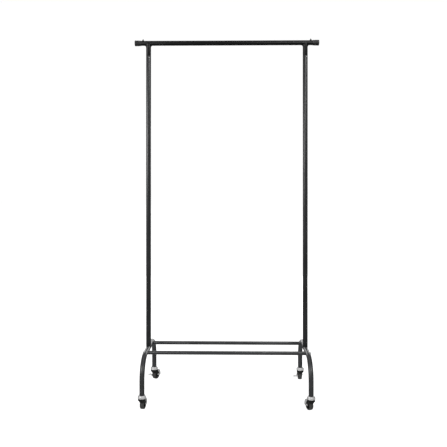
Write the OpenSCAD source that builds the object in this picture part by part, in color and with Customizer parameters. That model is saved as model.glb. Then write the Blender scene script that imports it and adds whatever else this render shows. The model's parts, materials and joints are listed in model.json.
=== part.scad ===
// Rolling clothes rack: one hanging rail on two uprights, two bent-tube base arches joined by two bars, four casters.
// Frame: origin on the floor under the middle of the rack, X along the rail, Y front (-) to back (+), Z up.

/* [Frame] */
// Distance between the upright axes
upright_spacing = 800; // [600:10:1200]
// Height of the top of the hanging rail
overall_h = 1805; // [1400:5:2000]
// Outer diameter of the rail and the uprights
tube_d = 25; // [22:1:32]
// Wall of every steel tube
tube_wall = 1.2; // [1:0.1:1.8]
// Length of the bare rail, without its end caps
rail_l = 936; // [890:2:1000]
// How far the joint line lies below the rail's underside
stub_l = 53; // [40:1:120]

/* [Base] */
// Outer diameter of the arch tubes
arch_d = 24; // [22:1:26]
// Height of the arch crown's axis
arch_z = 236; // [200:1:280]
// Distance from the front leg axis to the back leg axis
leg_spacing = 410; // [380:5:480]
// Centre-line radius of the two bends
bend_r = 100; // [70:5:110]
// Outer diameter of the base bars
bar_d = 18; // [14:1:20]
// Distance between the two base bars
bar_spacing = 172; // [120:2:176]

/* [Rail ends] */
// Length of an end cap
cap_l = 32; // [24:1:40]
// Outer diameter at the cap's open end
cap_d = 26.8; // [26.6:0.1:27]
// Outer diameter at the cap's closed end
cap_flare_d = 29; // [28:0.5:32]
// Height of the hanger stop above the rail
stop_h = 9; // [6:1:12]
// Distance from an upright's axis out to its hanger stop
stop_offset = 28; // [20:1:34]

/* [Snap buttons] */
// Diameter of the button
button_d = 7; // [5:0.5:8]
// Travel of the button until it is flush
button_travel = 2.6; // [2:0.1:2.8]
// Angle of the button round the upright, from the front
button_angle = 25; // [0:5:45]

/* [Casters] */
// Height of the leg's open end above the floor
caster_h = 71; // [69:1:75]
// Diameter of the wheel
wheel_d = 50; // [48:1:52]
// Width of the wheel
wheel_w = 20; // [18:1:21]
// Distance from the swivel axis to the axle
trail = 18; // [16:1:20]
// Diameter of the swivel head
head_d = 41; // [40:1:44]

/* [Hidden] */
$fn = 64;
side_x = upright_spacing / 2;
rail_z = overall_h - tube_d / 2;
tube_bore = tube_d - 2 * tube_wall;
arch_bore = arch_d - 2 * tube_wall;
bar_bore = bar_d - 2 * tube_wall;
joint_z = rail_z - tube_d / 2 - stub_l;
leg_y = leg_spacing / 2;
flat_y = leg_y - bend_r;
bend_z = arch_z - bend_r;
bar_y = bar_spacing / 2;
play = 0.1;        // clearance of a push fit
screw_play = 0.25; // clearance of a screw in a plain hole

upright_z0 = arch_z + 4;
spigot_d = tube_bore - 2 * play;
spigot_wall = 1.5;
spigot_up = 30;
spigot_down = 60;
button_z = joint_z - 9;
button_out = 2.8;
button_flange_d = 8.8;
button_flange_t = 1;
button_flange_r = 8.5;  // distance from the upright's axis to the flange's outer face
leaf_w = 8;
leaf_t = 0.8;
leaf_l = 34;

plug_l = 24;
crown_screw_d = 8;
crown_screw_l = 46;
bar_screw_d = 6;
bar_screw_l = 38;
screw_head_h = 4;
crown_head_d = 14;
bar_head_d = 12;

// Caster heights above the floor
axle_z = wheel_d / 2;
crown_top = 65.2;      // top of the fork's crown
crown_bottom = 52.4;   // underside of the fork's crown
cup_bottom = 57.5;     // lower edge of the swivel cup, which hides the balls
cup_roof = 66.8;       // underside of the swivel cup's roof
cup_wall = 1.4;
cup_top = caster_h;
race_r = 13.5;
ball_d = 3;
ball_z = 66;
ball_play = 0.1;
ball_count = 18;
stem_d = 10;
stem_top = caster_h + 28;
kingpin_d = 8;
insert_l = 26;
insert_bore_d = stem_d + 0.1;
leg_plate_t = 1.6;
fork_gap = 22;         // inside width between the fork's legs
fork_w = fork_gap + 2 * leg_plate_t;
axle_d = 6;
hub_d = 15;
hub_w = 21.4;
rim_d = 40;
shoulder_t = 1.6;
shoulder_z0 = 39;      // lower edge of the shoulder, as wide as the fork's legs
shoulder_z1 = 48.5;    // where the shoulder reaches its full width
shoulder_top = 57;     // upper edge of the shoulder, just under the swivel cup
shoulder_r = 19.2;
guard_t = 1.6;
guard_r = 27.2;        // outer radius of the wheel guard, round the axle
guard_low = -8;        // lower edge of the wheel guard, from the axle's height
lever_t = 1.6;
lever_x0 = fork_w / 2 + 0.35;
lever_arm = 15;
lever_tab_l = 25;
lever_tab_y = [-24.5, -6.5];

// One row per caster: name, side (-1 left, 1 right), end (-1 front, 1 back), swivel angle in degrees
CASTERS = [
    ["front_left", -1, -1, -8],
    ["front_right", 1, -1, 20],
    ["back_left", -1, 1, -24],
    ["back_right", 1, 1, 1]
];
// Angle of the brake levers from the axle's level while the brakes are off
LEVER_OFF = -6;

// ---------- helpers ----------

module tube(d, bore, h) {
    difference() {
        cylinder(d = d, h = h);
        translate([0, 0, -1]) cylinder(d = bore, h = h + 2);
    }
}

module rod_x(d, l) {
    rotate([0, 90, 0]) cylinder(d = d, h = l, center = true);
}

module rod_y(d, l) {
    rotate([90, 0, 0]) cylinder(d = d, h = l, center = true);
}

// A pan-head screw that points along -Z, with its head seated at z = 0
module pan_screw(d, l, head_d) {
    translate([0, 0, -l]) cylinder(d = d - 0.1, h = l);
    rotate_extrude() {
        polygon([[0, 0], [head_d / 2, 0], [head_d / 2, screw_head_h * 0.45],
                 [head_d * 0.38, screw_head_h * 0.85], [head_d * 0.2, screw_head_h], [0, screw_head_h]]);
    }
}

module at_side(side) {
    translate([side * side_x, 0, 0]) children();
}

// Places a caster's own frame, with its swivel axis as Z and its trail along +Y
module at_caster(i) {
    translate([CASTERS[i][1] * side_x, CASTERS[i][2] * leg_y, 0]) rotate([0, 0, CASTERS[i][3]]) children();
}

// ---------- rail and top joints ----------

module hanging_rail() {
    color([0.07, 0.07, 0.08]) difference() {
        translate([0, 0, rail_z]) rod_x(tube_d, rail_l);
        translate([0, 0, rail_z]) rod_x(tube_bore, rail_l + 2);
        for (side = [-1, 1]) {
            translate([side * (side_x + stop_offset), 0, rail_z]) cylinder(d = 4.2, h = tube_d);
        }
    }
}

// A flared cup that slides over the rail's end
module rail_end_cap(side) {
    end_x = rail_l / 2 + 2;
    color([0.05, 0.05, 0.05]) translate([side * end_x, 0, rail_z]) rotate([0, -side * 90, 0]) {
        rotate_extrude() {
            polygon([[0, 0], [cap_flare_d / 2 - 1.5, 0], [cap_flare_d / 2, 1.5],
                     [cap_flare_d / 2, 8], [cap_d / 2, cap_l], [tube_d / 2 + 0.05, cap_l],
                     [tube_d / 2 + 0.05, 2], [0, 2]]);
        }
    }
}

// Pointed studs on top of the rail that keep hangers from sliding off
module hanger_stops() {
    color([0.05, 0.05, 0.05]) for (side = [-1, 1]) {
        translate([side * (side_x + stop_offset), 0, rail_z]) {
            translate([0, 0, tube_bore / 2 - 4]) cylinder(d = 4, h = 6);
            difference() {
                translate([0, 0, tube_d / 2 - 1.5]) rotate_extrude() {
                    polygon([[0, 0], [6, 0], [6, 3], [2.8, stop_h - 1], [1.3, stop_h + 1.5], [0, stop_h + 1.5]]);
                }
                rod_x(tube_d + 0.04, 4 * stop_h);
            }
        }
    }
}

module rail_stub() {
    color([0.1, 0.1, 0.1]) difference() {
        translate([0, 0, joint_z]) cylinder(d = tube_d, h = rail_z - joint_z);
        translate([0, 0, joint_z - 1]) cylinder(d = tube_bore, h = rail_z - joint_z + 2);
        translate([0, 0, rail_z]) rod_x(tube_d + 0.04, 2 * tube_d);
    }
}

module joint_spigot() {
    color([0.3, 0.3, 0.32]) difference() {
        translate([0, 0, joint_z - spigot_down]) {
            tube(spigot_d, spigot_d - 2 * spigot_wall, spigot_down + spigot_up);
        }
        button_hole(button_d + 0.5);
    }
}

// A radial hole at the button, through one wall only
module button_hole(d) {
    translate([0, 0, button_z]) rotate([0, 0, button_angle]) rotate([90, 0, 0]) cylinder(d = d, h = tube_d);
}

module snap_button() {
    r_face = tube_d / 2 + button_out;
    r_back = button_flange_r - button_flange_t;
    color([0.55, 0.55, 0.57]) translate([0, 0, button_z]) rotate([0, 0, button_angle]) rotate([90, 0, 0]) {
        rotate_extrude() {
            polygon([[0, r_back], [button_flange_d / 2, r_back], [button_flange_d / 2, button_flange_r],
                     [button_d / 2, button_flange_r], [button_d / 2, r_face - 1.4], [button_d / 2 - 0.5, r_face - 0.5],
                     [button_d / 2 - 1.5, r_face], [0, r_face]]);
        }
    }
}

// A bent leaf: one arm behind the button, one on the far wall, joined by a round bend at the bottom
module button_spring() {
    near_y = 0.05 - button_flange_r + button_flange_t;
    far_y = 8.7;
    bend_centre = (near_y + far_y) / 2;
    bend_out = (far_y - near_y) / 2;
    color([0.6, 0.6, 0.62]) translate([0, 0, button_z]) rotate([0, 0, button_angle]) {
        translate([-leaf_w / 2, near_y, -leaf_l + 8]) cube([leaf_w, leaf_t, leaf_l]);
        translate([-leaf_w / 2, far_y - leaf_t, -leaf_l + 8]) cube([leaf_w, leaf_t, leaf_l]);
        translate([-leaf_w / 2, bend_centre, -leaf_l + 8]) rotate([0, 90, 0]) difference() {
            cylinder(r = bend_out, h = leaf_w);
            translate([0, 0, -1]) cylinder(r = bend_out - leaf_t, h = leaf_w + 2);
            translate([-2 * bend_out, -bend_out - 1, -1]) cube([2 * bend_out, 2 * bend_out + 2, leaf_w + 2]);
        }
    }
}

// ---------- uprights ----------

module upright() {
    color([0.16, 0.16, 0.16]) difference() {
        translate([0, 0, upright_z0]) cylinder(d = tube_d, h = joint_z - play - upright_z0);
        translate([0, 0, upright_z0 - 1]) cylinder(d = tube_bore, h = joint_z - upright_z0 + 2);
        translate([0, 0, arch_z]) rod_y(arch_d + 0.04, 2 * tube_d);
        button_hole(button_d + 0.6);
    }
}

// The threaded plug that takes the crown screw
module upright_plug() {
    color([0.5, 0.5, 0.5]) translate([0, 0, arch_z + arch_d / 2 + 2]) {
        tube(tube_bore - 0.04, crown_screw_d, plug_l);
    }
}

module crown_screws() {
    color([0.6, 0.6, 0.62]) for (side = [-1, 1]) {
        at_side(side) translate([0, 0, arch_z - arch_d / 2]) rotate([180, 0, 0]) {
            pan_screw(crown_screw_d, crown_screw_l, crown_head_d);
        }
    }
}

// ---------- base ----------

// The bent path of an arch: two legs, two quarter bends and a flat crown. A longer leg leaves its end open.
module arch_path(d, extra) {
    for (end = [-1, 1]) {
        translate([0, end * leg_y, caster_h - extra]) cylinder(d = d, h = bend_z - caster_h + extra);
    }
    for (m = [0, 1]) {
        mirror([0, m, 0]) translate([0, flat_y, bend_z]) rotate([90, 0, 90]) {
            rotate_extrude(angle = 90) translate([bend_r, 0]) circle(d = d);
        }
    }
    translate([0, 0, arch_z]) rod_y(d, 2 * flat_y);
}

module base_arch(side) {
    color([0.13, 0.13, 0.13]) at_side(side) difference() {
        arch_path(arch_d, 0);
        arch_path(arch_bore, 1);
        for (y = [-bar_y, bar_y]) {
            translate([0, y, arch_z]) rod_x(bar_screw_d + 2 * screw_play, 2 * arch_d);
        }
        translate([0, 0, arch_z - arch_d]) cylinder(d = crown_screw_d + 2 * screw_play, h = 2 * arch_d);
    }
}

module base_bar(end) {
    color([0.1, 0.1, 0.1]) difference() {
        translate([0, end * bar_y, arch_z]) rod_x(bar_d, upright_spacing);
        translate([0, end * bar_y, arch_z]) rod_x(bar_bore, upright_spacing + 2);
        for (side = [-1, 1]) {
            translate([side * side_x, end * bar_y, arch_z]) rod_y(arch_d + 0.04, 2 * bar_d);
        }
    }
}

module at_bar_ends() {
    for (side = [-1, 1]) {
        for (end = [-1, 1]) {
            translate([side * side_x, end * bar_y, arch_z]) rotate([0, side * 90, 0]) children();
        }
    }
}

module bar_end_plugs() {
    color([0.5, 0.5, 0.5]) at_bar_ends() {
        translate([0, 0, -arch_d / 2 - 1 - plug_l]) tube(bar_bore - 0.04, bar_screw_d, plug_l);
    }
}

module bar_screws() {
    color([0.7, 0.7, 0.72]) at_bar_ends() {
        translate([0, 0, arch_d / 2]) pan_screw(bar_screw_d, bar_screw_l, bar_head_d);
    }
}

// ---------- casters ----------

// The socket pressed into a leg's end
module leg_insert(i) {
    color([0.3, 0.3, 0.3]) at_caster(i) translate([0, 0, caster_h + 0.5]) {
        tube(arch_bore - 0.04, insert_bore_d, insert_l);
    }
}

// The fixed half of the swivel head: stem, domed cup and kingpin with its riveted washer, one riveted piece
module swivel_cup(i) {
    cup_r = head_d / 2;
    color([0.75, 0.75, 0.76]) at_caster(i) difference() {
        rotate_extrude() {
            polygon([[0, stem_top], [stem_d / 2 - 1, stem_top], [stem_d / 2, stem_top - 1], [stem_d / 2, cup_top],
                     [cup_r - 4.5, cup_top], [cup_r - 1.8, cup_top - 1.6], [cup_r - 0.5, cup_top - 5],
                     [cup_r, cup_top - 9], [cup_r, cup_bottom], [cup_r - cup_wall, cup_bottom],
                     [cup_r - cup_wall, cup_roof], [kingpin_d / 2, cup_roof], [kingpin_d / 2, crown_bottom - 0.4],
                     [7, crown_bottom - 0.4], [7, crown_bottom - 2], [3, crown_bottom - 2.4],
                     [0, crown_bottom - 2.4]]);
        }
        ball_groove();
    }
}

module ball_groove() {
    translate([0, 0, ball_z]) rotate_extrude() translate([race_r, 0]) circle(d = ball_d + 2 * ball_play);
}

module ball_ring(i) {
    color([0.8, 0.8, 0.82]) at_caster(i) for (k = [0 : ball_count - 1]) {
        rotate([0, 0, k * 360 / ball_count]) translate([race_r, 0, ball_z]) sphere(d = ball_d);
    }
}

// Side outline of a fork leg, drawn with trail along X and height along Y
module fork_leg_outline() {
    difference() {
        union() {
            translate([trail, axle_z]) circle(d = 17);
            polygon([[-9, crown_bottom + 0.5], [12.5, crown_bottom + 0.5], [trail + 8.4, axle_z + 1.5],
                     [trail - 8.2, axle_z - 2.4]]);
        }
        translate([trail, axle_z]) circle(d = axle_d + 0.1);
    }
}

// The shoulder's wall, which narrows from the crown's width down to the legs' width
module shoulder() {
    r_low = fork_w / 2 + 0.3;
    difference() {
        rotate_extrude() {
            polygon([[r_low - shoulder_t, shoulder_z0], [r_low, shoulder_z0], [shoulder_r, shoulder_z1],
                     [shoulder_r, shoulder_top], [shoulder_r - shoulder_t, shoulder_top],
                     [shoulder_r - shoulder_t, shoulder_z1 + 0.5]]);
        }
        translate([-head_d, -0.5, 0]) cube([2 * head_d, 2 * head_d, 80]);
        translate([0, trail, axle_z]) rod_x(wheel_d + 3, fork_gap);
    }
}

// The turning half, one moulding: a round crown with a ball groove, a shoulder on the leading side, two legs
module fork(i) {
    color([0.06, 0.06, 0.06]) at_caster(i) difference() {
        union() {
            translate([0, 0, crown_bottom]) cylinder(d = head_d - 4, h = crown_top - crown_bottom);
            shoulder();
            for (x = [-fork_w / 2, fork_gap / 2]) {
                translate([x, 0, 0]) rotate([90, 0, 90]) linear_extrude(leg_plate_t) fork_leg_outline();
            }
        }
        translate([0, 0, crown_bottom - 1]) cylinder(d = kingpin_d + 0.15, h = crown_top - crown_bottom + 2);
        ball_groove();
    }
}

// Side outline of the guard behind a fork leg, drawn round the axle with trail along X and height along Y
module guard_cheek_outline() {
    intersection() {
        circle(r = guard_r);
        polygon([[-5, 32], [14, 1.5], [14, guard_low], [40, guard_low], [40, 40], [-5, 40]]);
    }
}

// A pressed steel hood behind the wheel: a plate under the crown, a curved back and two cheeks
module wheel_guard(i) {
    plate_w = fork_gap - 0.4;
    low_angle = asin(guard_low / guard_r) + 2;
    color([0.72, 0.72, 0.73]) at_caster(i) {
        difference() {
            translate([-plate_w / 2, -12, axle_z + guard_r - guard_t]) cube([plate_w, 12 + trail + 1, guard_t]);
            translate([0, 0, crown_bottom - 5]) cylinder(d = 2 * kingpin_d, h = 10);
        }
        translate([0, trail, axle_z]) rotate([90, 0, 90]) {
            rotate([0, 0, low_angle]) rotate_extrude(angle = 90 - low_angle) {
                translate([guard_r - guard_t, -fork_w / 2]) square([guard_t, fork_w]);
            }
            for (x = [-fork_w / 2, fork_gap / 2]) {
                translate([0, 0, x]) linear_extrude(leg_plate_t) guard_cheek_outline();
            }
        }
    }
}

// The bolt's head stands off on the two back casters, where the brake lever turns under it
module axle_bolt(i) {
    grip = fork_w / 2;
    head_gap = CASTERS[i][2] > 0 ? 2.4 : 0.02;
    color([0.7, 0.7, 0.72]) at_caster(i) translate([0, trail, axle_z]) {
        rod_x(axle_d, 2 * grip + 6.4);
        translate([grip + 0.02, 0, 0]) rotate([0, 90, 0]) cylinder(d = 10.4, h = 3.4, $fn = 6);
        translate([-grip - head_gap - 3, 0, 0]) rotate([0, 90, 0]) cylinder(d = 10, h = 3);
    }
}

module wheel_hub(i) {
    color([0.08, 0.08, 0.08]) at_caster(i) translate([0, trail, axle_z]) rotate([0, 90, 0]) rotate_extrude() {
        polygon([[axle_d / 2 + 0.06, -hub_w / 2], [hub_d / 2, -hub_w / 2], [hub_d / 2, -4], [rim_d / 2 - 3, -3],
                 [rim_d / 2 - 3, -wheel_w / 2 + 1.2], [rim_d / 2, -wheel_w / 2 + 1.2],
                 [rim_d / 2, wheel_w / 2 - 1.2], [rim_d / 2 - 3, wheel_w / 2 - 1.2], [rim_d / 2 - 3, 3],
                 [hub_d / 2, 4], [hub_d / 2, hub_w / 2], [axle_d / 2 + 0.06, hub_w / 2]]);
    }
}

module tyre(i) {
    color([0.05, 0.05, 0.05]) at_caster(i) translate([0, trail, axle_z]) rotate([0, 90, 0]) rotate_extrude() {
        difference() {
            translate([rim_d / 2 + 0.02, -wheel_w / 2]) square([wheel_d / 2 - rim_d / 2 - 0.02, wheel_w]);
            for (m = [0, 1]) {
                mirror([0, m]) translate([wheel_d / 2 - 3, wheel_w / 2 - 3]) difference() {
                    square(4);
                    circle(r = 3);
                }
            }
        }
    }
}

// A cam plate on the axle with a foot tab that sticks out sideways
module brake_lever(i) {
    color([0.72, 0.72, 0.73]) at_caster(i) translate([0, trail, axle_z]) rotate([-LEVER_OFF, 0, 0]) difference() {
        union() {
            translate([-lever_x0 - lever_t, 0, 0]) rotate([0, 90, 0]) cylinder(d = 15, h = lever_t);
            translate([-lever_x0 - lever_t, -lever_arm, -5]) cube([lever_t, lever_arm, 10]);
            translate([-lever_x0 - lever_tab_l, lever_tab_y[0], -1]) {
                cube([lever_tab_l, lever_tab_y[1] - lever_tab_y[0], 1.8]);
            }
        }
        rod_x(axle_d + 0.14, 80);
    }
}

// ---------- drawing ----------

hanging_rail();
rail_end_cap(-1);  // rail_end_cap_left
rail_end_cap(1);  // rail_end_cap_right
hanger_stops();
at_side(-1) rail_stub();  // rail_stub_left
at_side(1) rail_stub();  // rail_stub_right
at_side(-1) joint_spigot();  // joint_spigot_left
at_side(1) joint_spigot();  // joint_spigot_right
at_side(-1) snap_button();  // snap_button_left
at_side(1) snap_button();  // snap_button_right
at_side(-1) button_spring();  // button_spring_left
at_side(1) button_spring();  // button_spring_right
at_side(-1) upright();  // upright_left
at_side(1) upright();  // upright_right
at_side(-1) upright_plug();  // upright_plug_left
at_side(1) upright_plug();  // upright_plug_right
base_arch(-1);  // base_arch_left
base_arch(1);  // base_arch_right
crown_screws();
base_bar(-1);  // base_bar_front
base_bar(1);  // base_bar_back
bar_end_plugs();
bar_screws();
for (i = [0 : 3]) {
    name = CASTERS[i][0];
    leg_insert(i);
    swivel_cup(i);
    ball_ring(i);
    fork(i);
    wheel_guard(i);
    axle_bolt(i);
    wheel_hub(i);
    tyre(i);
}
brake_lever(2);  // brake_lever_back_left
brake_lever(3);  // brake_lever_back_right
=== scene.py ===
import json
import math

import bmesh
import bpy
from mathutils import Matrix, Vector


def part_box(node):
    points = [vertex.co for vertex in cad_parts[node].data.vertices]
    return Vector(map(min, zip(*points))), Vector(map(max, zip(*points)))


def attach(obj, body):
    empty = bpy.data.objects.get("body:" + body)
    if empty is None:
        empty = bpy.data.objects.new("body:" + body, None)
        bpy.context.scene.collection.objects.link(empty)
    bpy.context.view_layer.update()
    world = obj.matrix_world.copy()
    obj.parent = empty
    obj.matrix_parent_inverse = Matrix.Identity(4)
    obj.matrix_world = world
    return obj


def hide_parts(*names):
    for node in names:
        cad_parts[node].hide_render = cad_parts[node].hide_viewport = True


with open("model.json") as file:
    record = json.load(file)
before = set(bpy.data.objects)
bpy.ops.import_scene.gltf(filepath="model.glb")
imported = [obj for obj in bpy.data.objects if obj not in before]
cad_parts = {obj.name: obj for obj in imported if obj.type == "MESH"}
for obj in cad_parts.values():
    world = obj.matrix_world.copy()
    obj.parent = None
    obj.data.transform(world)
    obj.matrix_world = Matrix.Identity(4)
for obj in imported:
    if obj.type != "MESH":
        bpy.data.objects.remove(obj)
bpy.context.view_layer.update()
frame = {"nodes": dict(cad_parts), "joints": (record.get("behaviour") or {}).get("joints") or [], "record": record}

# ---------- driving dimensions, in metres and read from the frame where it has them ----------

SEGMENTS = 72                # round a tube or a lathe
WALL = 0.0012                # tube wall
BEND_RADIUS = 0.100          # centre line of the arch bends
EDGE = 0.0007                # rounding of a cut tube end
WELD_LEG = 0.0085            # how far the weld under the rail reaches along each tube
BUTTON_RADIUS = 0.0035
BUTTON_FLANGE = 0.005        # radius of the flange that keeps the button in its hole
BUTTON_HOLE = 0.0038         # radius of the hole in the upright
BAR_SHANK = (0.00295, 0.038)    # radius and length of a bar screw's shank
CROWN_SHANK = (0.00395, 0.046)  # and of a crown screw's

LEVER_OFF = math.radians(-6)  # brake lever's angle from the axle's level while the brake is off

JOINTS = {joint["name"]: joint for joint in frame["joints"]}
CORNERS = ["front_left", "front_right", "back_left", "back_right"]
SIDES = {"left": -1, "right": 1}


def middle(node):
    low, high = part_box(node)
    return (low + high) / 2


def half_size(node):
    low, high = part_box(node)
    return (high - low) / 2


RAIL = middle("hanging_rail")
RAIL_RADIUS = half_size("hanging_rail").z
RAIL_HALF = half_size("hanging_rail").x
SIDE_X = middle("upright_right").x
UPRIGHT_RADIUS = half_size("upright_right").x
UPRIGHT_LOW, UPRIGHT_HIGH = (corner.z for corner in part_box("upright_right"))
JOINT_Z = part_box("rail_stub_right")[0].z
ARCH_RADIUS = half_size("base_arch_right").x
ARCH_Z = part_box("base_arch_right")[1].z - ARCH_RADIUS
LEG_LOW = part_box("base_arch_right")[0].z
LEG_Y = half_size("base_arch_right").y - ARCH_RADIUS
BAR_RADIUS = half_size("base_bar_front").z
CUP_TOP = LEG_LOW

# ---------- mesh helpers ----------


def finish_mesh(name, verts, faces, material, body, slot, replaced=(), sharp=40):
    """Makes a smooth-shaded object, gives it its material, and lets it ride on a body."""
    mesh = bpy.data.meshes.new(name)
    mesh.from_pydata([tuple(v) for v in verts], [], faces)
    mesh.validate()
    shell = bmesh.new()
    shell.from_mesh(mesh)
    bmesh.ops.recalc_face_normals(shell, faces=shell.faces)
    shell.to_mesh(mesh)
    shell.free()
    mesh.shade_smooth()
    mesh.set_sharp_from_angle(angle=math.radians(sharp))
    mesh.materials.append(material)
    obj = bpy.data.objects.new(name, mesh)
    bpy.context.scene.collection.objects.link(obj)
    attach(obj, body)
    if replaced:
        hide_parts(*replaced)
    return obj


def bevel(obj, width, segments=3, angle=40):
    modifier = obj.modifiers.new("bevel", "BEVEL")
    modifier.width = width
    modifier.segments = segments
    modifier.limit_method = "ANGLE"
    modifier.angle_limit = math.radians(angle)
    modifier.harden_normals = True
    return obj


def joined(parts):
    """One vertex and face list from several."""
    verts, faces = [], []
    for part_verts, part_faces in parts:
        start = len(verts)
        verts += part_verts
        faces += [tuple(start + i for i in face) for face in part_faces]
    return verts, faces


def placed(part, matrix):
    verts, faces = part
    return [matrix @ Vector(v) for v in verts], faces


def fillet(points, radius, steps=4, closed=True):
    """Rounds each corner of an outline. radius is one number, or one for each point."""
    radii = radius if isinstance(radius, (list, tuple)) else [radius] * len(points)
    rounded = []
    for i, (point, r) in enumerate(zip(points, radii)):
        is_end = not closed and i in (0, len(points) - 1)
        if r <= 0 or is_end:
            rounded.append(tuple(point))
            continue
        here = Vector(point)
        back = Vector(points[i - 1]) - here
        ahead = Vector(points[(i + 1) % len(points)]) - here
        turn = back.angle(ahead)
        reach = min(r / math.tan(turn / 2), back.length * 0.49, ahead.length * 0.49)
        start, end = here + back.normalized() * reach, here + ahead.normalized() * reach
        for k in range(steps + 1):
            t = k / steps
            spot = start * (1 - t) ** 2 + here * 2 * t * (1 - t) + end * t ** 2
            rounded.append(tuple(spot))
    return rounded


def hexagon(angle):
    """Radius of a unit-corner hexagon at an angle."""
    return math.cos(math.pi / 6) / math.cos(angle % (math.pi / 3) - math.pi / 6)


def lathe(profile, segments=SEGMENTS, start=0.0, sweep=math.tau, closed=False, hex_from=None):
    """Turns (radius, height) points about Z. From hex_from on they follow a hexagon, as in a nut."""
    full = abs(sweep - math.tau) < 1e-6
    columns = segments if full else segments + 1
    verts, rings = [], []
    for index, (radius, height) in enumerate(profile):
        if radius < 1e-7:
            rings.append([len(verts)] * columns)
            verts.append(Vector((0, 0, height)))
            continue
        ring = []
        for k in range(columns):
            angle = start + sweep * k / segments
            reach = radius * (hexagon(angle) if hex_from is not None and index >= hex_from else 1.0)
            ring.append(len(verts))
            verts.append(Vector((reach * math.cos(angle), reach * math.sin(angle), height)))
        rings.append(ring)
    faces = []
    count = len(rings)
    for i in range(count if closed else count - 1):
        low, high = rings[i], rings[(i + 1) % count]
        for k in range(segments):
            n = (k + 1) % columns if full else k + 1
            face = [low[k], low[n], high[n], high[k]]
            face = list(dict.fromkeys(face))
            if len(face) > 2:
                faces.append(tuple(face))
    if not full:
        faces.append(tuple(reversed([ring[0] for ring in rings])))
        faces.append(tuple(ring[-1] for ring in rings))
    return verts, faces


def extruded(outline, depth):
    """A flat plate: an outline in XY, counter-clockwise, between z = 0 and z = depth."""
    count = len(outline)
    verts = [Vector((x, y, 0)) for x, y in outline] + [Vector((x, y, depth)) for x, y in outline]
    faces = [tuple(reversed(range(count))), tuple(range(count, 2 * count))]
    faces += [(i, (i + 1) % count, count + (i + 1) % count, count + i) for i in range(count)]
    return verts, faces


def circle(radius, centre=(0, 0), steps=48, start=0.0, sweep=math.tau):
    """Points of a circle, or of an arc with both its ends."""
    full = abs(sweep - math.tau) < 1e-6
    angles = [start + sweep * k / steps for k in range(steps if full else steps + 1)]
    return [(centre[0] + radius * math.cos(a), centre[1] + radius * math.sin(a)) for a in angles]


def cut_tube(outer, low_end, high_end, low_round=EDGE, high_round=EDGE):
    """A tube along Z. Its ends follow low_end(x, y) and high_end(x, y), so it can be coped onto another."""
    inner = outer - WALL
    rings = [
        (inner, 0, 0.0), (outer - low_round, 0, 0.0), (outer - low_round * 0.3, 0, low_round * 0.3),
        (outer, 0, low_round), (outer, 1, -high_round), (outer - high_round * 0.3, 1, -high_round * 0.3),
        (outer - high_round, 1, 0.0), (inner, 1, 0.0),
    ]
    verts, faces = [], []
    for radius, at_high, offset in rings:
        for k in range(SEGMENTS):
            angle = math.tau * k / SEGMENTS
            x, y = math.cos(angle), math.sin(angle)
            end = (high_end if at_high else low_end)(outer * x, outer * y)
            verts.append(Vector((radius * x, radius * y, end + offset)))
    for i in range(len(rings)):
        low, high = i * SEGMENTS, (i + 1) % len(rings) * SEGMENTS
        for k in range(SEGMENTS):
            n = (k + 1) % SEGMENTS
            faces.append((low + k, low + n, high + n, high + k))
    return verts, faces


def flat(height):
    return lambda x, y: height


def swept_tube(path, outer, normal):
    """A tube along a flat path. normal is the direction at right angles to the path's plane."""
    inner = outer - WALL
    verts, faces = [], []
    stations = len(path)
    for i, point in enumerate(path):
        ahead = path[min(i + 1, stations - 1)] - path[max(i - 1, 0)]
        across = normal.cross(ahead.normalized())
        for radius in (outer, inner):
            for k in range(SEGMENTS):
                angle = math.tau * k / SEGMENTS
                verts.append(point + normal * radius * math.cos(angle) + across * radius * math.sin(angle))
    for i in range(stations - 1):
        for shell in (0, 1):
            low = (2 * i + shell) * SEGMENTS
            high = low + 2 * SEGMENTS
            for k in range(SEGMENTS):
                n = (k + 1) % SEGMENTS
                face = (low + k, low + n, high + n, high + k)
                faces.append(face if shell == 0 else tuple(reversed(face)))
    for station, flip in ((0, False), (stations - 1, True)):
        low = 2 * station * SEGMENTS
        for k in range(SEGMENTS):
            n = (k + 1) % SEGMENTS
            face = (low + k, low + SEGMENTS + k, low + SEGMENTS + n, low + n)
            faces.append(tuple(reversed(face)) if flip else face)
    return verts, faces


def cut(obj, part):
    """Cuts a closed mesh part out of an object and keeps the result as its mesh."""
    cutter_mesh = bpy.data.meshes.new("cutter")
    cutter_mesh.from_pydata([tuple(v) for v in part[0]], [], part[1])
    cutter = bpy.data.objects.new("cutter", cutter_mesh)
    bpy.context.scene.collection.objects.link(cutter)
    modifier = obj.modifiers.new("hole", "BOOLEAN")
    modifier.operation = "DIFFERENCE"
    modifier.solver = "EXACT"
    modifier.object = cutter
    bpy.context.view_layer.update()
    result = bpy.data.meshes.new_from_object(obj.evaluated_get(bpy.context.evaluated_depsgraph_get()))
    obj.modifiers.clear()
    result.shade_smooth()
    result.set_sharp_from_angle(angle=math.radians(40))
    obj.data = result
    bpy.data.objects.remove(cutter)
    return obj


# ---------- materials ----------


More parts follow.
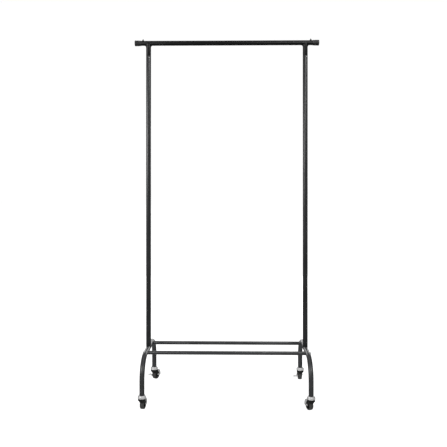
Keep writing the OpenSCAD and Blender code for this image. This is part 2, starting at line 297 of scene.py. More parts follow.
class Recipe:
    """A Principled material with small helpers for its procedural nodes."""

    def __init__(self, name, roughness, metallic=0.0, specular=0.5):
        self.material = bpy.data.materials.new(name)
        self.material.use_nodes = True
        self.nodes = self.material.node_tree.nodes
        self.links = self.material.node_tree.links
        self.shader = self.nodes["Principled BSDF"]
        self.shader.inputs["Roughness"].default_value = roughness
        self.shader.inputs["Metallic"].default_value = metallic
        self.shader.inputs["Specular IOR Level"].default_value = specular
        self.place = self.nodes.new("ShaderNodeTexCoord").outputs["Object"]
        self.height = None

    def stretched(self, scale):
        mapping = self.nodes.new("ShaderNodeMapping")
        mapping.inputs["Scale"].default_value = scale
        self.links.new(self.place, mapping.inputs["Vector"])
        return mapping.outputs["Vector"]

    def noise(self, scale, detail=3.0, rough=0.55, place=None):
        node = self.nodes.new("ShaderNodeTexNoise")
        node.inputs["Scale"].default_value = scale
        node.inputs["Detail"].default_value = detail
        node.inputs["Roughness"].default_value = rough
        self.links.new(place or self.place, node.inputs["Vector"])
        return node.outputs["Fac"]

    def cells(self, scale):
        node = self.nodes.new("ShaderNodeTexVoronoi")
        node.inputs["Scale"].default_value = scale
        self.links.new(self.place, node.inputs["Vector"])
        return node.outputs["Color"]

    def ramp(self, value, stops):
        node = self.nodes.new("ShaderNodeValToRGB")
        elements = node.color_ramp.elements
        while len(elements) < len(stops):
            elements.new(0.5)
        for element, (position, colour) in zip(elements, stops):
            element.position = position
            element.color = (*colour, 1.0)
        self.links.new(value, node.inputs["Fac"])
        return node.outputs["Color"]

    def colour(self, value, stops):
        self.links.new(self.ramp(value, stops), self.shader.inputs["Base Color"])
        return self

    def rough(self, value, low, high):
        node = self.nodes.new("ShaderNodeMapRange")
        node.inputs["From Min"].default_value = 0.3
        node.inputs["From Max"].default_value = 0.7
        node.inputs["To Min"].default_value = low
        node.inputs["To Max"].default_value = high
        self.links.new(value, node.inputs["Value"])
        self.links.new(node.outputs["Result"], self.shader.inputs["Roughness"])
        return self

    def bump(self, value, distance, strength=1.0):
        node = self.nodes.new("ShaderNodeBump")
        node.inputs["Distance"].default_value = distance
        node.inputs["Strength"].default_value = strength
        self.links.new(value, node.inputs["Height"])
        if self.height is not None:
            self.links.new(self.height, node.inputs["Normal"])
        self.height = node.outputs["Normal"]
        self.links.new(self.height, self.shader.inputs["Normal"])
        return self


def grey(level, tint=(1.0, 1.0, 1.0)):
    return tuple(level * t for t in tint)


def powder_coat(name, level, low=0.3, high=0.4, specular=0.5):
    """Semi-gloss black powder coat: a fine orange peel, slow patches of tone, and a few duller smudges."""
    recipe = Recipe(name, roughness=low, specular=specular)
    cool = (0.96, 1.0, 1.06)
    recipe.colour(recipe.noise(9.0), [(0.3, grey(level * 0.7, cool)), (0.7, grey(level * 1.4, cool))])
    recipe.rough(recipe.noise(14.0, detail=5.0), low, high)
    recipe.bump(recipe.noise(420.0, detail=2.0), 0.00003)
    recipe.bump(recipe.noise(1900.0, detail=1.0), 0.00001)
    return recipe.material


def moulded_plastic(name, level, low=0.42, high=0.56):
    """Black moulded plastic with a fine spark-eroded grain."""
    recipe = Recipe(name, roughness=low)
    recipe.colour(recipe.noise(60.0), [(0.3, grey(level * 0.8)), (0.7, grey(level * 1.3))])
    recipe.rough(recipe.noise(90.0, detail=4.0), low, high)
    recipe.bump(recipe.noise(2600.0, detail=2.0), 0.00005)
    return recipe.material


def tread_rubber():
    """Matt black tread, greyed and scuffed by floors."""
    recipe = Recipe("tread_rubber", roughness=0.6)
    scuffs = recipe.noise(160.0, detail=6.0, rough=0.7, place=recipe.stretched((1.0, 1.0, 3.0)))
    recipe.colour(scuffs, [(0.3, grey(0.022)), (0.55, grey(0.035)), (0.75, grey(0.075))])
    recipe.rough(recipe.noise(120.0), 0.5, 0.66)
    recipe.bump(recipe.noise(1300.0, detail=3.0), 0.00008)
    return recipe.material


def zinc_plate(name, level, low=0.34, high=0.48):
    """Zinc-plated pressed steel: faint spangle, drawing lines and a satin sheen."""
    recipe = Recipe(name, roughness=low, metallic=0.55)
    tint = (1.0, 1.0, 1.0)
    spangle = recipe.cells(300.0)
    recipe.colour(spangle, [(0.0, grey(level * 0.86, tint)), (1.0, grey(level * 1.08, tint))])
    recipe.rough(recipe.noise(70.0, detail=5.0), low, high)
    recipe.bump(recipe.noise(700.0, detail=3.0, place=recipe.stretched((1.0, 1.0, 8.0))), 0.00003)
    return recipe.material


def polished_steel(name, level, low=0.1, high=0.22):
    recipe = Recipe(name, roughness=low, metallic=1.0)
    recipe.colour(recipe.noise(220.0), [(0.3, grey(level * 0.92)), (0.7, grey(level))])
    recipe.rough(recipe.noise(150.0, detail=4.0), low, high)
    recipe.bump(recipe.noise(900.0), 0.00001)
    return recipe.material


SLOTS = {
    # One black powder coat in three lit and shaded copies: the rail's copy is darker and less reflective as
    # painted shade, the base's copy lighter as painted light, and the uprights' copy between them.
    "rail_paint": powder_coat("rail_coat_painted_shade", 0.0025, 0.34, 0.44, specular=0.19),
    "upright_paint": powder_coat("upright_coat_painted_tone", 0.011),
    "base_paint": powder_coat("base_coat_painted_light", 0.026),
    "black_plastic": moulded_plastic("cap_plastic", 0.004),
    "fork_plastic": moulded_plastic("fork_plastic", 0.004),
    "hub_plastic": moulded_plastic("hub_plastic", 0.02),
    "nylon": moulded_plastic("plug_nylon", 0.05),
    "tyre_rubber": tread_rubber(),
    "zinc_plate": zinc_plate("zinc_plate", 0.66),
    "zinc_screws": zinc_plate("zinc_screws", 0.62, 0.28, 0.4),
    "bearing_steel": polished_steel("bearing_steel", 0.8),
    "plain_steel": polished_steel("plain_steel", 0.3, 0.3, 0.45),
}
slot_of = {row["node"]: row["material_slot"] for row in frame["record"]["subparts"]}


def dress_cad_nodes():
    """Gives every CAD node its procedural material, whether it stays in view or not."""
    for node, obj in frame["nodes"].items():
        material = SLOTS[slot_of[node]]
        if obj.data.materials:
            for i in range(len(obj.data.materials)):
                obj.data.materials[i] = material
        else:
            obj.data.materials.append(material)


def make(name, part, node, body, sharp=40, replaced=True):
    """A finished piece. It takes its finish from a CAD node's slot, and by default stands for that node."""
    slot = slot_of[node]
    return finish_mesh(name, *part, SLOTS[slot], body, slot, (node,) if replaced else (), sharp)


# ---------- rail and top joints ----------

ALONG_X = Matrix.Rotation(math.pi / 2, 4, "Y")


def at(x, y, z):
    return Matrix.Translation((x, y, z))


def build_rail():
    part = cut_tube(RAIL_RADIUS, flat(-RAIL_HALF), flat(RAIL_HALF))
    make("rail_tube", placed(part, at(*RAIL) @ ALONG_X), "hanging_rail", "frame")


def build_end_caps():
    """Flared, slightly dished caps with a rolled lip and a shallow step where they meet the rail."""
    for side, sign in SIDES.items():
        node = f"rail_end_cap_{side}"
        low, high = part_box(node)
        length, flare = high.x - low.x, (high.z - low.z) / 2
        mouth = RAIL_RADIUS + 0.0009
        bore = RAIL_RADIUS + 0.00005
        profile = [
            (0.0, 0.0012), (flare * 0.55, 0.0009), (flare - 0.003, 0.0), (flare - 0.0006, 0.0006),
            (flare, 0.0024), (flare, 0.006), (flare - 0.0004, 0.0085), (mouth + 0.0009, length * 0.55),
            (mouth + 0.0002, length * 0.8), (mouth, length - 0.003), (mouth + 0.0004, length - 0.002),
            (mouth + 0.0003, length - 0.0006), (mouth - 0.0003, length), (bore, length),
            (bore, 0.002), (0.0, 0.002),
        ]
        turn = Matrix.Rotation(-sign * math.pi / 2, 4, "Y")
        outer_end = high.x if sign > 0 else low.x
        part = placed(lathe(profile), at(outer_end, RAIL.y, RAIL.z) @ turn)
        make(f"end_cap_{side}", part, node, "frame")


def build_hanger_stops():
    """Pointed studs with a concave flank and a small rounded tip, saddled onto the rail."""
    low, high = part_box("hanger_stops")
    height = high.z - (RAIL.z + RAIL_RADIUS)
    foot = high.y
    parts = []
    for sign in SIDES.values():
        profile = [
            (0.0, -0.006), (0.002, -0.006), (0.002, -0.0016), (foot, -0.0016), (foot, 0.0007),
            (foot * 0.86, 0.0013), (foot * 0.6, height * 0.36), (foot * 0.42, height * 0.66),
            (foot * 0.28, height * 0.92), (foot * 0.14, height * 0.99), (0.0, height),
        ]
        verts, faces = lathe(profile, segments=40)
        for v in verts:
            if -0.002 < v.z < 0.001 and v.xy.length > foot * 0.7:
                v.z += math.sqrt(RAIL_RADIUS ** 2 - v.y ** 2) - RAIL_RADIUS
        x = sign * (high.x - foot)
        parts.append(placed((verts, faces), at(x, RAIL.y, RAIL.z + RAIL_RADIUS)))
    make("hanger_stop_studs", joined(parts), "hanger_stops", "frame", sharp=50)


def weld_strip(sign):
    """The concave weld on one side of a stub, drawn round the rail's axis. Both tubes have one diameter."""
    steps, arc = 96, 8
    radius = RAIL_RADIUS
    verts, faces = [], []
    ring = arc + 2
    for i in range(steps + 1):
        across = math.radians(-89.5 + 179 * i / steps)
        x, y = radius * math.cos(across), radius * math.sin(across)
        ripple = 1 + 0.05 * math.sin(i * 1.9) * math.cos(across)
        leg = WELD_LEG * math.cos(across) ** 0.8 * ripple + 0.0002
        bite = 0.0004
        corner = Vector((sign * (x - bite), y, -x + bite))
        verts.append(corner)
        for k in range(arc + 1):
            a = math.pi / 2 * k / arc
            out = sign * (x + leg - leg * math.sin(a))
            down = -x - leg + leg * math.cos(a)
            verts.append(Vector((out, y, down)))
    for i in range(steps):
        for k in range(ring):
            n = (k + 1) % ring
            face = (i * ring + k, i * ring + n, (i + 1) * ring + n, (i + 1) * ring + k)
            faces.append(face if sign < 0 else tuple(reversed(face)))
    first, last = tuple(range(ring)), tuple(range(steps * ring, (steps + 1) * ring))
    faces += [tuple(reversed(first)), last] if sign < 0 else [first, tuple(reversed(last))]
    return verts, faces


def build_stubs():
    """Each stub is coped to the rail, and a painted-over weld fills the corner."""
    def saddle(x, y):
        return RAIL.z - math.sqrt(max(RAIL_RADIUS ** 2 - y ** 2, 0.0))

    for side, sign in SIDES.items():
        node = f"rail_stub_{side}"
        part = cut_tube(UPRIGHT_RADIUS, flat(JOINT_Z), saddle, high_round=0.0)
        make(f"stub_tube_{side}", placed(part, at(sign * SIDE_X, 0, 0)), node, "frame")
        weld = joined([weld_strip(-1), weld_strip(1)])
        weld = placed(weld, at(sign * SIDE_X, 0, RAIL.z))
        make(f"stub_weld_{side}", weld, "hanging_rail", "frame", replaced=False)


def button_matrix(side):
    """Places a part drawn along +Z so that it points out through the upright's wall at the snap button."""
    axis = Vector(JOINTS[f"button_{side}_push"]["axis"])
    turn = (-axis).to_track_quat("Z", "Y").to_matrix().to_4x4()
    centre = middle(f"snap_button_{side}")
    return at(SIDES[side] * SIDE_X, 0, centre.z) @ turn


def build_buttons():
    for side in SIDES:
        node = f"snap_button_{side}"
        verts = frame["nodes"][node].data.vertices
        local = button_matrix(side).inverted()
        reach = [(local @ v.co).z for v in verts]
        tip, heel = max(reach), min(reach)
        radius, flange = BUTTON_RADIUS, BUTTON_FLANGE
        profile = [
            (0.0, heel), (flange, heel), (flange, heel + 0.001), (radius, heel + 0.001),
            (radius, tip - 0.0018), (radius * 0.93, tip - 0.0011), (radius * 0.76, tip - 0.0005),
            (radius * 0.45, tip - 0.0001), (0.0, tip),
        ]
        part = placed(lathe(profile, segments=40), button_matrix(side))
        make(f"button_{side}", part, node, f"button_{side}")


# ---------- uprights and base ----------


def build_uprights():
    """Each upright is coped onto the arch's crown and drilled for its snap button."""
    def saddle(x, y):
        return max(ARCH_Z + math.sqrt(max((ARCH_RADIUS + 0.0001) ** 2 - x ** 2, 0.0)), UPRIGHT_LOW)

    for side, sign in SIDES.items():
        part = cut_tube(UPRIGHT_RADIUS, saddle, flat(UPRIGHT_HIGH), low_round=0.0004)
        node = f"upright_{side}"
        obj = make(f"upright_tube_{side}", placed(part, at(sign * SIDE_X, 0, 0)), node, "frame")
        start, end = 0.004, 0.03
        drill = lathe([(0.0, start), (BUTTON_HOLE, start), (BUTTON_HOLE, end), (0.0, end)], segments=40)
        cut(obj, placed(drill, button_matrix(side)))


def arch_path():
    """Centre line of an arch from the front leg's end to the back leg's end, in the YZ plane."""
    flat_y, bend_z = LEG_Y - BEND_RADIUS, ARCH_Z - BEND_RADIUS
    steps = 28
    points = [Vector((0, -LEG_Y, LEG_LOW)), Vector((0, -LEG_Y, LEG_LOW + 0.002))]
    for k in range(steps + 1):
        a = math.pi / 2 * k / steps
        points.append(Vector((0, -flat_y - BEND_RADIUS * math.cos(a), bend_z + BEND_RADIUS * math.sin(a))))
    points += [Vector((0, -p.y, p.z)) for p in reversed(points)]
    return points


def build_arches():
    for side, sign in SIDES.items():
        part = swept_tube(arch_path(), ARCH_RADIUS, Vector((1, 0, 0)))
        make(f"arch_tube_{side}", placed(part, at(sign * SIDE_X, 0, 0)), f"base_arch_{side}", "frame")


def build_bars():
    def saddle(x, y):
        return SIDE_X - math.sqrt((ARCH_RADIUS + 0.0001) ** 2 - x ** 2)

    for end in ("front", "back"):
        node = f"base_bar_{end}"
        part = cut_tube(BAR_RADIUS, lambda x, y: -saddle(x, y), saddle, EDGE * 0.4, EDGE * 0.4)
        spot = at(0, middle(node).y, middle(node).z)
        make(f"bar_tube_{end}", placed(part, spot @ ALONG_X), node, "frame")


def socket_screw(head_radius, head_height, shank_radius, shank_length):
    """A domed head with a hexagon socket, seated at z = 0, and its shank down -Z."""
    socket = head_radius * 0.48
    profile = [
        (0.0, -shank_length), (shank_radius * 0.7, -shank_length), (shank_radius, -shank_length + 0.001),
        (shank_radius, 0.0), (head_radius * 0.97, 0.0), (head_radius, head_height * 0.12),
        (head_radius * 0.98, head_height * 0.4), (head_radius * 0.88, head_height * 0.72),
        (head_radius * 0.7, head_height * 0.95), (socket * 1.12, head_height),
        (socket, head_height * 0.97), (socket * 0.98, head_height * 0.35), (0.0, head_height * 0.3),
    ]
    return lathe(profile, segments=48, hex_from=10)


def build_screws():
    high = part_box("bar_screws")[1]
    head, height = half_size("bar_screws").z, high.x - SIDE_X - ARCH_RADIUS
    bar_y = high.y - head
    parts = []
    for x_sign in (-1, 1):
        for y_sign in (-1, 1):
            turn = Matrix.Rotation(x_sign * math.pi / 2, 4, "Y")
            spot = at(x_sign * (SIDE_X + ARCH_RADIUS), y_sign * bar_y, ARCH_Z)
            parts.append(placed(socket_screw(head, height, *BAR_SHANK), spot @ turn))
    make("bar_socket_screws", joined(parts), "bar_screws", "frame")
    low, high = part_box("crown_screws")
    height = ARCH_Z - ARCH_RADIUS - low.z
    parts = []
    for x_sign in (-1, 1):
        turn = Matrix.Rotation(math.pi, 4, "X")
        spot = at(x_sign * SIDE_X, 0, ARCH_Z - ARCH_RADIUS)
        parts.append(placed(socket_screw(high.y, height, *CROWN_SHANK), spot @ turn))
    make("crown_socket_screws", joined(parts), "crown_screws", "frame")


# ---------- casters ----------

CUP_RADIUS = half_size("swivel_cup_back_left").x - 0.00005
CUP_LOW, CUP_ROOF = 0.0575, 0.0668          # heights above the floor
CROWN_LOW, CROWN_HIGH = 0.0524, 0.0652
STEM_LENGTH = 0.028
KINGPIN_RADIUS, WASHER_RADIUS = 0.004, 0.007
RACE_RADIUS = 0.0135                        # middle of the ball groove
FORK_GAP = 0.022                            # inside width between the fork's legs
PLATE = 0.0016
FORK_HALF = FORK_GAP / 2 + PLATE
AXLE_RADIUS = 0.003
SHOULDER_RADIUS = 0.0192
SHOULDER_LOW, SHOULDER_HIGH = 0.0390, 0.0570
GUARD_RADIUS = 0.0272                       # round the axle
GUARD_LOW = -0.008                          # from the axle's height
NUT_SIDE_GAP = 0.00005
BRAKE_SIDE_GAP = 0.0024                     # between the fork and the bolt's head, for the lever
LEVER_REACH = 0.025                         # how far the foot tab sticks out
LEVER_NEAR, LEVER_FAR = -0.0065, -0.0245    # the tab's ends, from the axle
# Stands an outline up: its X points along the trail and its Y points up
SIDEWAYS = Matrix(((0, 0, 1, 0), (1, 0, 0, 0), (0, 1, 0, 0), (0, 0, 0, 1)))


class Caster:
    """One caster's measures and its own frame: swivel axis as Z from the floor, trail along +Y."""

    def __init__(self, corner):
        self.corner = corner
        self.body = f"caster_{corner}"
        self.wheel_body = f"wheel_{corner}"
        swivel = Vector(JOINTS[f"caster_{corner}_swivel"]["pos_m"])
        spin = JOINTS[f"wheel_{corner}_spin"]
        axle = Vector(spin["pos_m"])
        across = Vector(spin["axis"])
        self.axle_z = axle.z
        self.trail = (axle.xy - swivel.xy).length
        turn = Matrix.Rotation(math.atan2(across.y, across.x), 4, "Z")
        self.matrix = at(swivel.x, swivel.y, 0) @ turn
        self.axle_matrix = self.matrix @ at(0, self.trail, self.axle_z)
        self.has_brake = f"brake_{corner}_pedal" in JOINTS

    def make(self, name, part, node, body, on_axle=False, sharp=40):
        matrix = self.axle_matrix if on_axle else self.matrix
        part = placed(part, matrix)
        return make(f"{name}_{self.corner}", part, f"{node}_{self.corner}", body, sharp)


def build_cup(caster):
    """The fixed head: a domed, drawn cup with a raised ring and a rolled lower lip, on a threaded stem."""
    r, top = CUP_RADIUS, CUP_TOP
    stem_top = top + STEM_LENGTH
    kingpin, washer, race = KINGPIN_RADIUS, WASHER_RADIUS, RACE_RADIUS
    pitch, threads = 0.0015, 16
    stem = [(0.0, stem_top), (0.0042, stem_top)]
    for k in range(threads):
        z = stem_top - 0.0008 - k * pitch
        stem += [(0.005, z), (0.00455, z - pitch / 2)]
    dome = [
        (0.005, top), (0.0135, top), (0.0148, top - 0.0001), (r - 0.0045, top - 0.0004),
        (r - 0.0027, top - 0.0012), (r - 0.0014, top - 0.003), (r - 0.0007, top - 0.0055),
        (r - 0.0003, top - 0.0085), (r - 0.0003, CUP_LOW + 0.0048), (r - 0.0007, CUP_LOW + 0.0042),
        (r - 0.0007, CUP_LOW + 0.0034), (r - 0.0001, CUP_LOW + 0.0026), (r, CUP_LOW + 0.001),
        (r - 0.0003, CUP_LOW + 0.0002), (r - 0.0008, CUP_LOW), (r - 0.0013, CUP_LOW + 0.0005),
    ]
    inside = [
        (r - 0.0014, CUP_ROOF), (0.0152, CUP_ROOF), (race, CUP_ROOF + 0.0007), (0.0118, CUP_ROOF),
        (kingpin, CUP_ROOF), (kingpin, CROWN_LOW - 0.0004), (washer - 0.0004, CROWN_LOW - 0.0004),
        (washer, CROWN_LOW - 0.0008),
        (washer, CROWN_LOW - 0.0018), (0.0045, CROWN_LOW - 0.0024), (0.0, CROWN_LOW - 0.0026),
    ]
    caster.make("swivel_head", lathe(stem + dome + inside), "swivel_cup", "frame")


def build_fork(caster):
    """The moulded fork: a round crown, a shoulder on the leading side and two legs with rounded feet."""
    r, bore = CUP_RADIUS - 0.002, KINGPIN_RADIUS + 0.00008
    crown = lathe([
        (bore, CROWN_LOW), (r - 0.0018, CROWN_LOW), (r - 0.0004, CROWN_LOW + 0.0006),
        (r, CROWN_LOW + 0.0018), (r - 0.0004, CROWN_HIGH - 0.0008), (r - 0.0016, CROWN_HIGH),
        (0.0153, CROWN_HIGH), (RACE_RADIUS, CROWN_HIGH - 0.0007), (0.0117, CROWN_HIGH), (bore, CROWN_HIGH),
    ], closed=True)
    wide, narrow, thick = SHOULDER_RADIUS, FORK_HALF + 0.0003, PLATE
    low, top = SHOULDER_LOW, SHOULDER_HIGH
    outside = [
        (narrow, low), (narrow + 0.0004, low + 0.002), (0.0152, low + 0.0049),
        (0.0184, low + 0.0076), (wide, low + 0.0096), (wide, top),
    ]
    inside = [
        (wide - thick, top), (wide - thick, low + 0.0102), (0.0171, low + 0.0087),
        (0.0139, low + 0.0059), (narrow + 0.0004 - thick, low + 0.0027), (narrow - thick, low),
    ]
    loop = fillet(outside, 0.0012, closed=False) + fillet(inside, 0.0008, closed=False)
    shoulder = lathe(loop, segments=48, start=math.radians(182), sweep=math.radians(176), closed=True)
    foot_start, foot_sweep = math.radians(198), math.radians(172)
    foot = circle(0.0085, (caster.trail, caster.axle_z), steps=24, start=foot_start, sweep=foot_sweep)
    outline = [(-0.009, CROWN_LOW + 0.0004), *foot, (0.0125, CROWN_LOW + 0.0004)]
    legs = [placed(extruded(outline, PLATE), at(x, 0, 0) @ SIDEWAYS) for x in (-FORK_HALF, FORK_GAP / 2)]
    obj = caster.make("fork_moulding", joined([crown, shoulder, *legs]), "fork", caster.body, sharp=35)
    bevel(obj, 0.0004, segments=3, angle=50)


def plate_with_hole(half_x, low_y, high_y, hole, low_z, high_z):
    """A flat rectangular plate with a round hole on the Z axis."""
    steps = 48
    outer, inner = [], []
    for k in range(steps):
        angle = math.tau * k / steps
        x, y = math.cos(angle), math.sin(angle)
        reach = min(half_x / max(abs(x), 1e-9), (high_y if y > 0 else -low_y) / max(abs(y), 1e-9))
        outer.append((x * reach, y * reach))
        inner.append((x * hole, y * hole))
    rings = [(outer, low_z), (outer, high_z), (inner, high_z), (inner, low_z)]
    verts = [Vector((x, y, z)) for ring, z in rings for x, y in ring]
    faces = []
    for i in range(4):
        low, high = i * steps, (i + 1) % 4 * steps
        faces += [(low + k, low + (k + 1) % steps, high + (k + 1) % steps, high + k) for k in range(steps)]
    return verts, faces


def build_guard(caster):
    """A pressed hood behind the wheel: a plate under the crown, a curved back and two cheeks."""
    low_angle = math.asin(GUARD_LOW / GUARD_RADIUS)
    inner, half = GUARD_RADIUS - PLATE, FORK_HALF
    section = fillet([(inner, -half), (GUARD_RADIUS, -half), (GUARD_RADIUS, half), (inner, half)],
                     [0.0002, 0.0011, 0.0011, 0.0002], steps=4)
    back = lathe(section, segments=40, start=low_angle, sweep=math.pi / 2 - low_angle, closed=True)
    top_angle = math.radians(94)
    rim = circle(GUARD_RADIUS - 0.0002, steps=40, start=low_angle, sweep=top_angle - low_angle)
    outline = [(0.014, 0.0015), (0.014, GUARD_LOW)] + rim
    cheeks = [placed(extruded(outline, PLATE), at(0, 0, x)) for x in (-half, FORK_GAP / 2)]
    beads = [placed(extruded(bead_outline(), 0.0004), at(0, 0, z)) for z in (-half - 0.0002, half - 0.0002)]
    shell = placed(joined([back, *cheeks, *beads]), at(0, caster.trail, caster.axle_z) @ SIDEWAYS)
    plate_top = caster.axle_z + GUARD_RADIUS
    plate_half, front, rear = FORK_GAP / 2 - 0.0002, -0.012, caster.trail + 0.001
    plate = plate_with_hole(plate_half, front, rear, 2 * KINGPIN_RADIUS, plate_top - PLATE, plate_top)
    obj = caster.make("wheel_hood", joined([shell, plate]), "wheel_guard", caster.body, sharp=35)
    bevel(obj, 0.0003, segments=2, angle=60)


def bead_outline():
    """A stiffening bead pressed along each cheek's curved edge."""
    outer = circle(GUARD_RADIUS - 0.0035, steps=24, sweep=math.radians(72))
    inner = circle(GUARD_RADIUS - 0.0060, steps=24, sweep=math.radians(72))
    return outer + inner[::-1]


def build_axle(caster):
    """The axle bolt, with a domed head at one end and a hexagon nut at the other."""
    grip = FORK_HALF
    head_at = -grip - (BRAKE_SIDE_GAP if caster.has_brake else 0.00002)
    rod = lathe([(0.0, head_at), (AXLE_RADIUS, head_at), (AXLE_RADIUS, grip + 0.003),
                 (AXLE_RADIUS * 0.8, grip + 0.0032), (0.0, grip + 0.0032)], segments=40)
    head = lathe([(0.0, head_at - 0.003), (0.0028, head_at - 0.0028), (0.0042, head_at - 0.0022),
                  (0.005, head_at - 0.001), (0.005, head_at), (0.0, head_at)], segments=40)
    nut = lathe([
        (AXLE_RADIUS, grip + NUT_SIDE_GAP), (0.0043, grip + NUT_SIDE_GAP), (0.0052, grip + 0.0004),
        (0.0052, grip + 0.003), (0.0043, grip + 0.0034), (AXLE_RADIUS, grip + 0.0034),
    ], segments=48, closed=True, hex_from=1)
    part = placed(joined([rod, head, nut]), ALONG_X)
    caster.make("axle", part, "axle_bolt", caster.body, on_axle=True, sharp=30)


def build_wheel(caster):
    """A ribbed hub in a tyre with a crowned tread and a moulding line round its middle."""
    bore, boss, half = AXLE_RADIUS + 0.00006, 0.0075, 0.0107
    rim, rim_half = 0.02, 0.0088
    hub = lathe(fillet([
        (bore, -half), (boss, -half), (boss, -0.004), (rim - 0.003, -0.003), (rim - 0.003, -rim_half),
        (rim, -rim_half), (rim, rim_half), (rim - 0.003, rim_half), (rim - 0.003, 0.003), (boss, 0.004),
        (boss, half), (bore, half)], 0.0006, steps=3), closed=True)
    root, tip, rib_half, rib_width = boss - 0.0004, rim - 0.0026, 0.0007, 0.0118
    rib = extruded([(root, -rib_half), (tip, -rib_half), (tip, rib_half), (root, rib_half)], rib_width)
    centred = placed(rib, at(0, 0, -rib_width / 2))
    ribs = [placed(centred, Matrix.Rotation(math.tau * k / 6, 4, "Z")) for k in range(6)]
    part = placed(joined([hub, *ribs]), ALONG_X)
    caster.make("hub", part, "wheel_hub", caster.wheel_body, on_axle=True, sharp=35)
    radius, width = caster.axle_z, 0.01
    tread = [(radius - 0.0049, -width), (radius - 0.0034, -width), (radius - 0.0016, -width + 0.0005)]
    tread += [(radius - 0.0006, -width + 0.0019), (radius - 0.00012, -width + 0.0042), (radius, -0.0026)]
    tread += [(radius, -0.0003), (radius - 0.00015, 0.0)]
    mirrored = [(r, -z) for r, z in reversed(tread[:-1])]
    tyre = lathe(tread + mirrored, segments=96, closed=True)
    caster.make("tread", placed(tyre, ALONG_X), "tyre", caster.wheel_body, on_axle=True, sharp=60)


def build_lever(caster):
    """A pressed lever on the axle: a round eye, an arm, and a foot tab bent outwards with three ridges."""
    thick, eye, tab_thick = PLATE, 0.0075, 0.0018
    inner = -FORK_HALF - 0.00035
    tab_end = inner - LEVER_REACH
    near, far = LEVER_NEAR, LEVER_FAR
    arm = placed(extruded(lever_side(eye, far), thick), at(inner - thick, 0, 0) @ SIDEWAYS)
    tab_root = inner - thick * 0.4
    outline = fillet([(tab_root, near), (tab_end, near), (tab_end, far), (tab_root, far)],
                     [0.0, 0.005, 0.005, 0.0], steps=6)
    tab = placed(extruded(outline, tab_thick), at(0, 0, -0.001))
    ridges = []
    for k in range(3):
        x = tab_end + 0.004 + 0.0045 * k
        right, low, high = x + 0.0016, far + 0.0035, near - 0.0035
        bar = fillet([(x, low), (right, low), (right, high), (x, high)], 0.0007, steps=3)
        ridges.append(placed(extruded(bar, 0.0006), at(0, 0, tab_thick - 0.0013)))
    turn = Matrix.Rotation(-LEVER_OFF, 4, "X")
    part = placed(joined([arm, tab, *ridges]), turn)
    body = f"brake_{caster.corner}"
    obj = caster.make("foot_lever", part, "brake_lever", body, on_axle=True, sharp=30)
    bevel(obj, 0.0004, segments=3, angle=50)


def lever_side(eye, tip):
    """Side outline of the lever's plate: an eye round the axle and a straight arm that carries the tab."""
    top, low = 0.0045, -0.0045
    opening = math.asin(top / eye)
    ring = circle(eye, steps=36, start=math.pi + opening, sweep=math.tau - 2 * opening)
    arm = fillet([ring[-1], (tip, top), (tip, low), ring[0]], [0.0, 0.0035, 0.0035, 0.0], steps=6)
    return ring + arm[1:-1]


# ---------- stage, light and camera ----------

CAMERA = Vector((0.0249, -2.758, 1.056))
CAMERA_YAW = 0.015
FOCAL_TO_FRAME = 540 / 447   # focal length over frame width
HORIZON_SHIFT = -0.0811
FLOOR_HALF = 30.0
FLOOR_GREY = 0.5
FLOOR_GLOW = (0.87, 1.0)     # painted glow of the floor, from under the rack, where it is weaker and paints a soft shade, to the backdrop
GLOW_REACH = (0.5, 2.5)      # distances from the rack between which the glow rises
BACKDROP_SEEN, BACKDROP_LIGHT = 1.02, 0.16


def build_camera():
    data = bpy.data.cameras.new("camera")
    data.sensor_width = 36.0
    data.lens = data.sensor_width * FOCAL_TO_FRAME
    data.shift_y = HORIZON_SHIFT
    data.clip_end = 100.0
    camera = bpy.data.objects.new("camera", data)
    camera.location = CAMERA
    camera.rotation_euler = (math.pi / 2, 0.0, CAMERA_YAW)
    bpy.context.scene.collection.objects.link(camera)
    bpy.context.scene.camera = camera


def build_stage():
    """A plain pale floor with a painted glow that rises with the distance, so that no horizon shows; the weaker
    glow near the rack paints a soft shade round it.
    """
    half = FLOOR_HALF
    corners = [(-half, -half, 0), (half, -half, 0), (half, half, 0), (-half, half, 0)]
    mesh = bpy.data.meshes.new("studio_floor")
    mesh.from_pydata(corners, [], [(0, 1, 2, 3)])
    material = bpy.data.materials.new("studio_floor")
    material.use_nodes = True
    nodes, links = material.node_tree.nodes, material.node_tree.links
    shader = nodes["Principled BSDF"]
    shader.inputs["Base Color"].default_value = (FLOOR_GREY, FLOOR_GREY, FLOOR_GREY, 1)
    shader.inputs["Roughness"].default_value = 1.0
    shader.inputs["Specular IOR Level"].default_value = 0.0
    shader.inputs["Emission Color"].default_value = (1, 1, 1, 1)
    away = nodes.new("ShaderNodeVectorMath")
    away.operation = "LENGTH"
    links.new(nodes.new("ShaderNodeTexCoord").outputs["Object"], away.inputs[0])
    glow = nodes.new("ShaderNodeMapRange")
    glow.interpolation_type = "SMOOTHSTEP"
    glow.inputs["From Min"].default_value, glow.inputs["From Max"].default_value = GLOW_REACH
    glow.inputs["To Min"].default_value, glow.inputs["To Max"].default_value = FLOOR_GLOW
    links.new(away.outputs["Value"], glow.inputs["Value"])
    links.new(glow.outputs["Result"], shader.inputs["Emission Strength"])
    mesh.materials.append(material)
    floor = bpy.data.objects.new("studio_floor", mesh)
    bpy.context.scene.collection.objects.link(floor)
    floor.visible_glossy = False


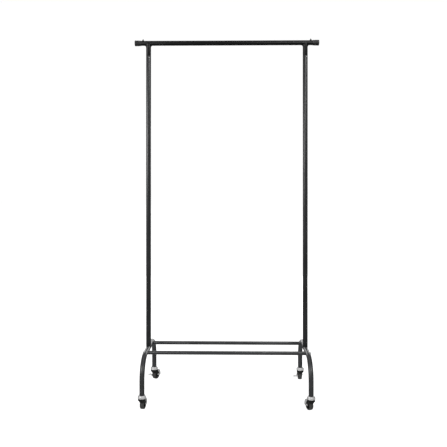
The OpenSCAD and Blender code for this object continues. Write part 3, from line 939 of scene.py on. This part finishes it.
def build_world():
    """A pale studio: white to the eye, and dimmer as a light, so that black paint stays black."""
    world = bpy.data.worlds.new("studio")
    bpy.context.scene.world = world
    world.use_nodes = True
    nodes, links = world.node_tree.nodes, world.node_tree.links
    nodes.clear()
    output = nodes.new("ShaderNodeOutputWorld")
    seen, lit = nodes.new("ShaderNodeBackground"), nodes.new("ShaderNodeBackground")
    seen.inputs["Color"].default_value = (1, 1, 1, 1)
    seen.inputs["Strength"].default_value = BACKDROP_SEEN
    lit.inputs["Color"].default_value = (1, 1, 1, 1)
    lit.inputs["Strength"].default_value = BACKDROP_LIGHT
    mix = nodes.new("ShaderNodeMixShader")
    path = nodes.new("ShaderNodeLightPath")
    links.new(path.outputs["Is Camera Ray"], mix.inputs["Fac"])
    links.new(lit.outputs["Background"], mix.inputs[1])
    links.new(seen.outputs["Background"], mix.inputs[2])
    links.new(mix.outputs["Shader"], output.inputs["Surface"])


def softbox(name, place, target, width, height, power):
    data = bpy.data.lights.new(name, "AREA")
    data.shape = "RECTANGLE"
    data.size, data.size_y = width, height
    data.energy = power
    lamp = bpy.data.objects.new(name, data)
    lamp.location = place
    lamp.rotation_euler = (Vector(target) - Vector(place)).to_track_quat("-Z", "Y").to_euler()
    bpy.context.scene.collection.objects.link(lamp)
    lamp.visible_camera = False


def build_lights():
    softbox("softbox_left", (-2.3, -1.9, 1.98), (0, 0, 1.85), 1.8, 1.4, 68)
    softbox("softbox_right", (1.6, -2.4, 2.75), (0, 0, 1.9), 1.5, 1.3, 66)
    softbox("softbox_top", (0.0, 0.4, 4.2), (0, 0, 0), 3.0, 3.0, 30)
    softbox("softbox_back", (0.0, 3.6, 1.1), (0, 0, 0.7), 5.0, 2.0, 70)


bpy.context.scene.view_settings.view_transform = "Standard"
bpy.context.scene.view_settings.look = "None"
build_camera()
dress_cad_nodes()
build_rail()
build_end_caps()
build_hanger_stops()
build_stubs()
build_buttons()
build_uprights()
build_arches()
build_bars()
build_screws()
for corner in CORNERS:
    caster = Caster(corner)
    build_cup(caster)
    build_fork(caster)
    build_guard(caster)
    build_axle(caster)
    build_wheel(caster)
    if caster.has_brake:
        build_lever(caster)
build_stage()
build_world()
build_lights()
